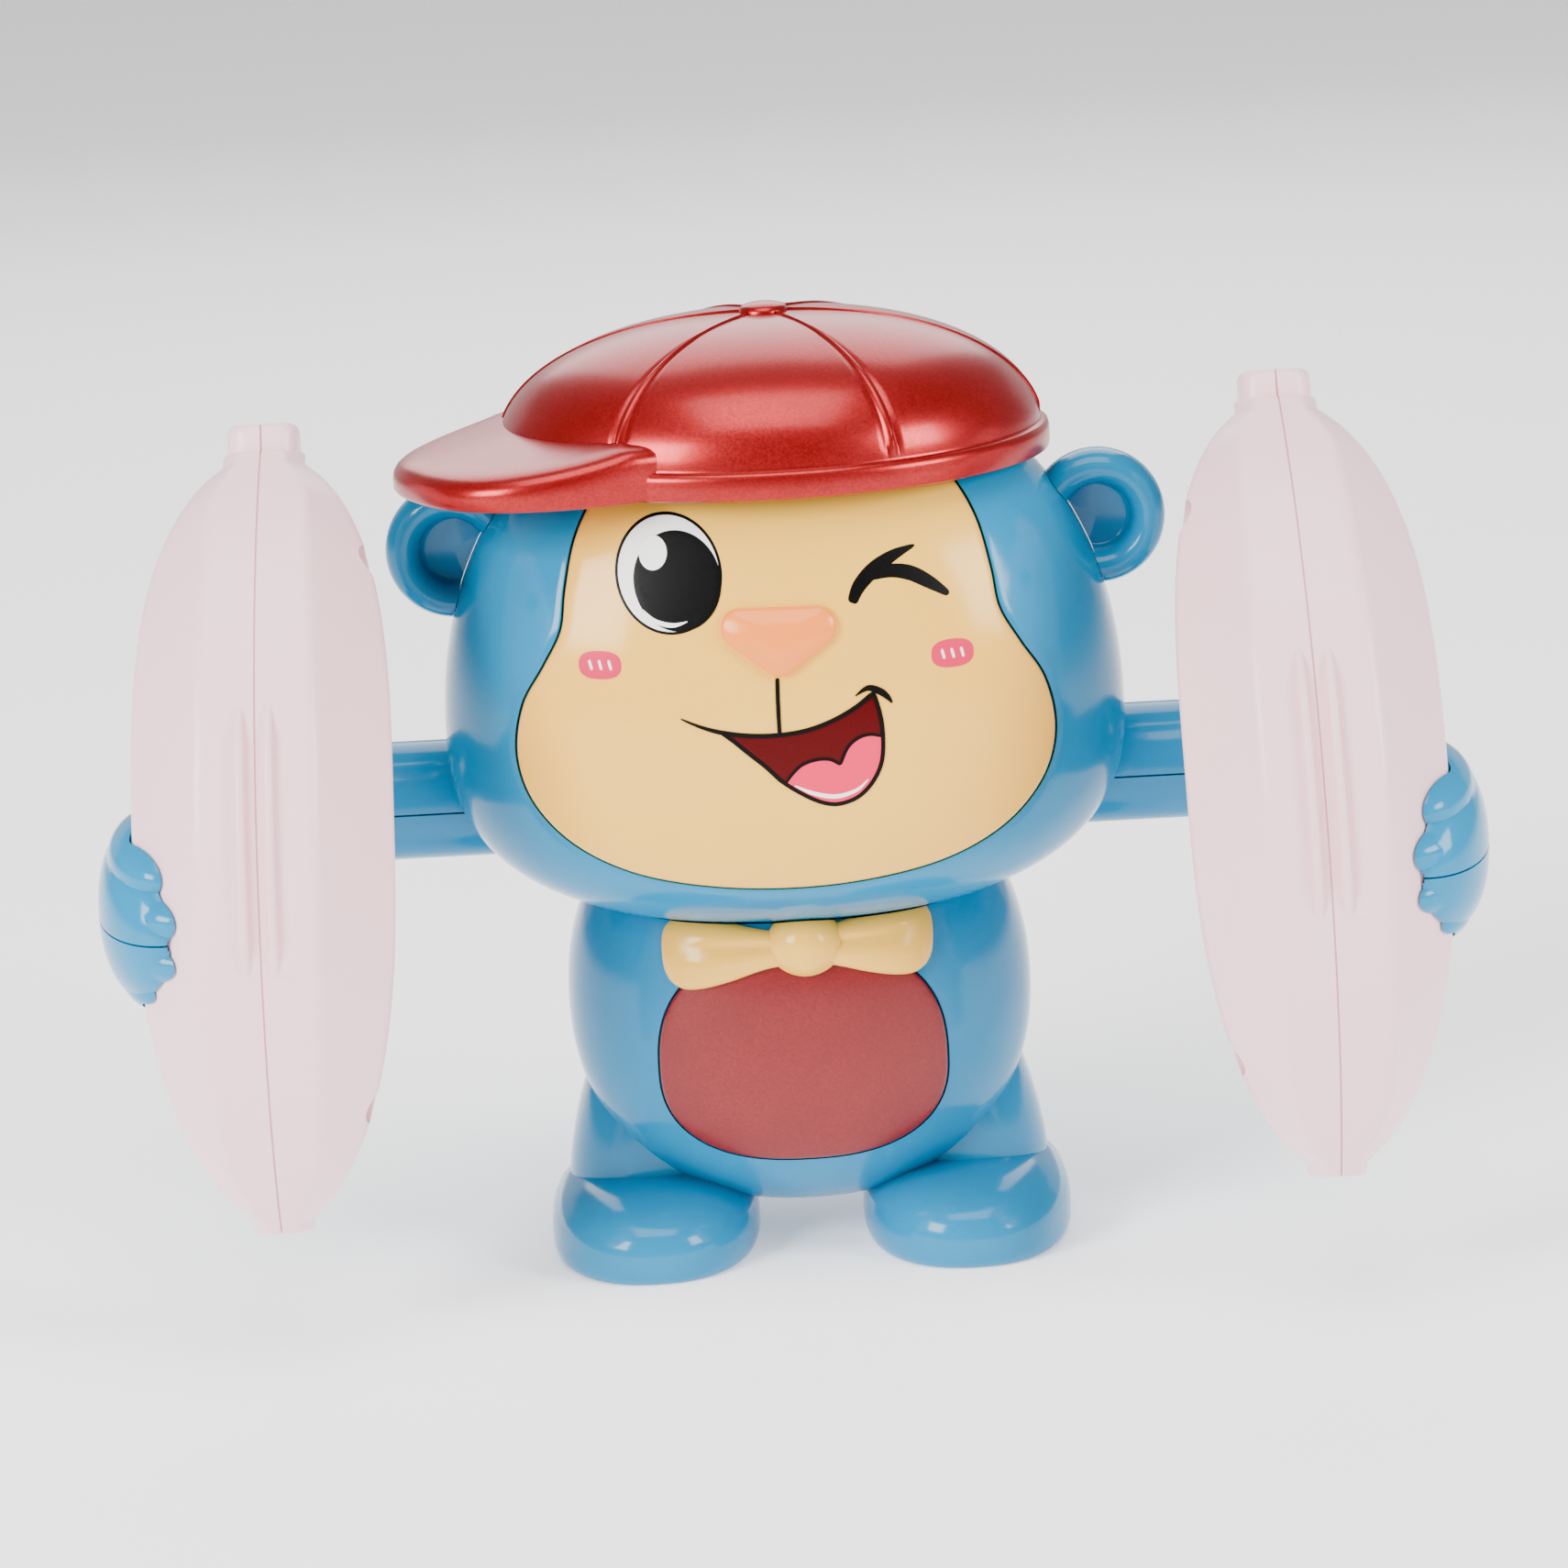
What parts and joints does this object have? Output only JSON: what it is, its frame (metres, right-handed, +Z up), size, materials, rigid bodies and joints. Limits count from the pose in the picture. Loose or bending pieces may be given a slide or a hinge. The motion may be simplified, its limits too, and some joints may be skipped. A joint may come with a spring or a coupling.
{
  "type": "tumbling monkey toy",
  "caption": "Battery-driven moulded monkey whose arms turn on one motor-driven axle and swing two large banana-shaped rockers, so that it tumbles head over heels.",
  "frame": {"origin": "on the floor, below the middle of the bounding box", "axes": "+Z up; the toy faces -Y; +X is the toy's own left side and lies along the axle"},
  "size_m": [0.214, 0.11, 0.155],
  "materials": {
    "blue_shell": "glossy injection-moulded ABS",
    "pink_shell": "satin-gloss injection-moulded ABS",
    "cream_trim": "glossy ABS with pad-printed face",
    "pearl_red": "pearl metallic lacquer over ABS",
    "peach_nose": "glossy ABS",
    "nylon_gears": "natural acetal",
    "brass_parts": "turned brass",
    "steel_hardware": "nickel-plated steel",
    "motor_steel": "zinc-plated drawn steel",
    "contact_plate": "nickel-plated spring steel",
    "cell_sleeve": "printed sleeve, no marks",
    "grey_tray": "moulded ABS",
    "circuit_laminate": "solder-masked laminate",
    "speaker_black": "paper cone and plastic frame",
    "switch_knob": "moulded plastic"
  },
  "bodies": {
    "toy_body": {"axle_bush_left": "brass_parts", "axle_bush_right": "brass_parts", "battery_1": "cell_sleeve", "battery_2": "cell_sleeve", "battery_3": "cell_sleeve", "battery_contact_left": "contact_plate", "battery_contact_right": "contact_plate", "battery_tray": "grey_tray", "belly_panel": "pearl_red", "body_front_shell": "blue_shell", "body_rear_shell": "blue_shell", "body_screw_1": "steel_hardware", "body_screw_2": "steel_hardware", "body_screw_3": "steel_hardware", "body_screw_4": "steel_hardware", "bow_tie": "cream_trim", "cap": "pearl_red", "circuit_board": "circuit_laminate", "ear_left": "blue_shell", "ear_right": "blue_shell", "face_plate": "cream_trim", "gear_pin_1": "steel_hardware", "gear_pin_2": "steel_hardware", "gearbox_case_left": "nylon_gears", "gearbox_case_right": "nylon_gears", "gearbox_screw_1": "steel_hardware", "gearbox_screw_2": "steel_hardware", "head_front_shell": "blue_shell", "head_rear_shell": "blue_shell", "head_screw_1": "steel_hardware", "head_screw_2": "steel_hardware", "motor_can": "motor_steel", "nose": "peach_nose", "speaker": "speaker_black", "switch_housing": "motor_steel"},
    "arms": {"arm_axle": "steel_hardware", "final_gear": "nylon_gears", "left_arm_lower_shell": "blue_shell", "left_arm_screw": "steel_hardware", "left_arm_upper_shell": "blue_shell", "left_banana_inner_shell": "pink_shell", "left_banana_outer_shell": "pink_shell", "left_banana_screw_1": "steel_hardware", "left_banana_screw_2": "steel_hardware", "right_arm_lower_shell": "blue_shell", "right_arm_screw": "steel_hardware", "right_arm_upper_shell": "blue_shell", "right_banana_inner_shell": "pink_shell", "right_banana_outer_shell": "pink_shell", "right_banana_screw_1": "steel_hardware", "right_banana_screw_2": "steel_hardware"},
    "gear_1": {"compound_gear_1": "nylon_gears"},
    "gear_2": {"compound_gear_2": "nylon_gears"},
    "gear_3": {"compound_gear_3": "nylon_gears"},
    "pinion": {"motor_pinion": "brass_parts", "motor_shaft": "steel_hardware"},
    "cover": {"battery_cover": "blue_shell", "battery_cover_screw": "steel_hardware"},
    "slider": {"switch_slider": "switch_knob"}
  },
  "joints": [
    {"name": "arms_turn", "type": "hinge", "parent": "toy_body", "child": "arms", "pos_m": [0, 0.027, 0.0745], "axis": [1, 0, 0], "continuous": true},
    {"name": "gear_1_spin", "type": "hinge", "parent": "toy_body", "child": "gear_1", "pos_m": [0, 0.02147, 0.08692], "axis": [1, 0, 0], "continuous": true},
    {"name": "gear_2_spin", "type": "hinge", "parent": "toy_body", "child": "gear_2", "pos_m": [0, 0.03171, 0.0946], "axis": [1, 0, 0], "continuous": true},
    {"name": "gear_3_spin", "type": "hinge", "parent": "toy_body", "child": "gear_3", "pos_m": [0, 0.02147, 0.08692], "axis": [1, 0, 0], "continuous": true},
    {"name": "pinion_spin", "type": "hinge", "parent": "toy_body", "child": "pinion", "pos_m": [0, 0.01379, 0.09716], "axis": [1, 0, 0], "continuous": true},
    {"name": "cover_lift_off", "type": "slide", "parent": "toy_body", "child": "cover", "axis": [0, 1, 0], "range_m": [0, 0.02]},
    {"name": "switch_slide", "type": "slide", "parent": "toy_body", "child": "slider", "axis": [1, 0, 0], "range_m": [0, 0.004]}
  ],
  "couplings": [
    {"joint": "gear_3_spin", "follows": "arms_turn", "ratio": -3.25},
    {"joint": "gear_2_spin", "follows": "arms_turn", "ratio": 9.75},
    {"joint": "gear_1_spin", "follows": "arms_turn", "ratio": -29.25},
    {"joint": "pinion_spin", "follows": "arms_turn", "ratio": 87.75}
  ]
}
